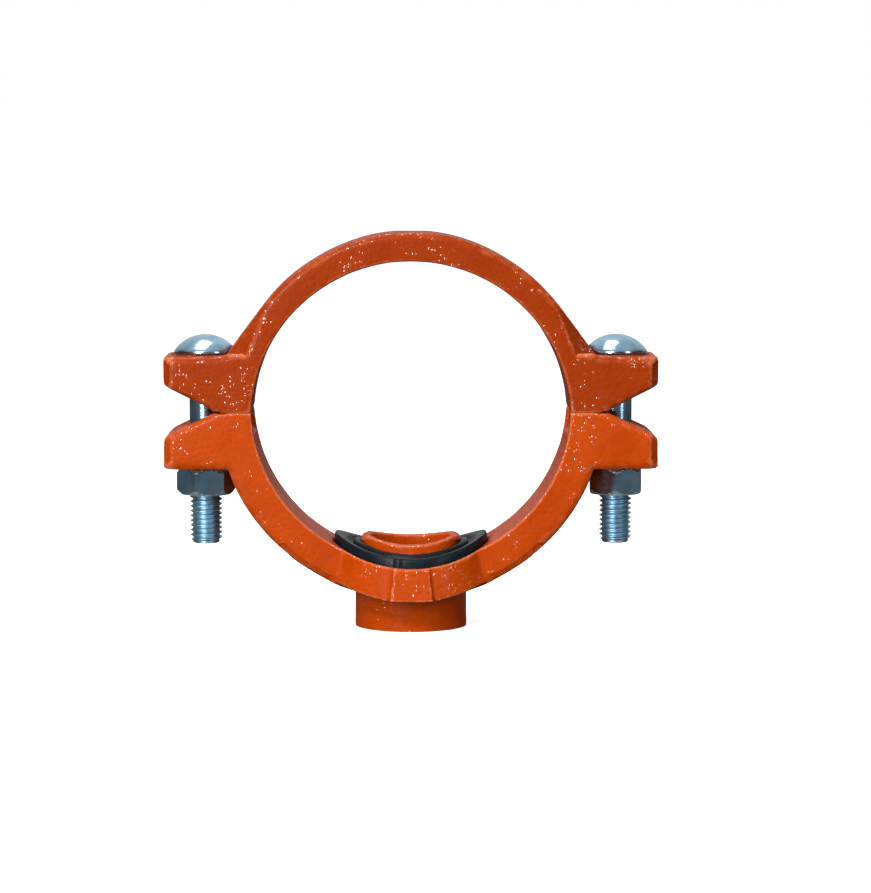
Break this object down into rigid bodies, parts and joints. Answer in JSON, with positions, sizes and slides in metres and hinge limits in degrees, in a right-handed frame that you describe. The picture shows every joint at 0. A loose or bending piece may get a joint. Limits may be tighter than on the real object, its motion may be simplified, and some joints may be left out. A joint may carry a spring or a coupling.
{
  "type": "mechanical tee",
  "caption": "Two-part cast branch fitting that clamps round a run pipe, with a saddle gasket, a locating collar and a threaded outlet boss.",
  "frame": {"origin": "where the run-pipe axis meets the outlet axis, at the centre of the outlet half's saddle", "axes": "+Y along the run pipe, +Z from the outlet boss towards the strap, +X across the two bolts"},
  "size_m": [0.1802, 0.0666, 0.1451],
  "materials": {
    "cast_paint": "glossy orange paint over sand-cast iron",
    "seal_rubber": "black moulded rubber with a soft sheen",
    "zinc_steel": "bright zinc plating"
  },
  "bodies": {
    "outlet_half": {"outlet_housing": "cast_paint", "gasket": "seal_rubber"},
    "strap": {"strap_housing": "cast_paint", "bolt_left": "zinc_steel", "bolt_right": "zinc_steel"},
    "nut_left": {"nut_left": "zinc_steel"},
    "nut_right": {"nut_right": "zinc_steel"}
  },
  "joints": [
    {"name": "strap_lift", "type": "slide", "parent": "outlet_half", "child": "strap", "axis": [0, 0, 1], "range_m": [0, 0.018]},
    {"name": "nut_left_turn", "type": "hinge", "parent": "outlet_half", "child": "nut_left", "pos_m": [-0.0755, 0, -0.029], "axis": [0, 0, 1], "range_deg": [-3703, 0]},
    {"name": "nut_right_turn", "type": "hinge", "parent": "outlet_half", "child": "nut_right", "pos_m": [0.0755, 0, -0.029], "axis": [0, 0, 1], "range_deg": [-3703, 0]}
  ],
  "couplings": [
    {"joint": "nut_left_turn", "follows": "strap_lift", "rad_per_m": -3590.4},
    {"joint": "nut_right_turn", "follows": "strap_lift", "rad_per_m": -3590.4}
  ]
}
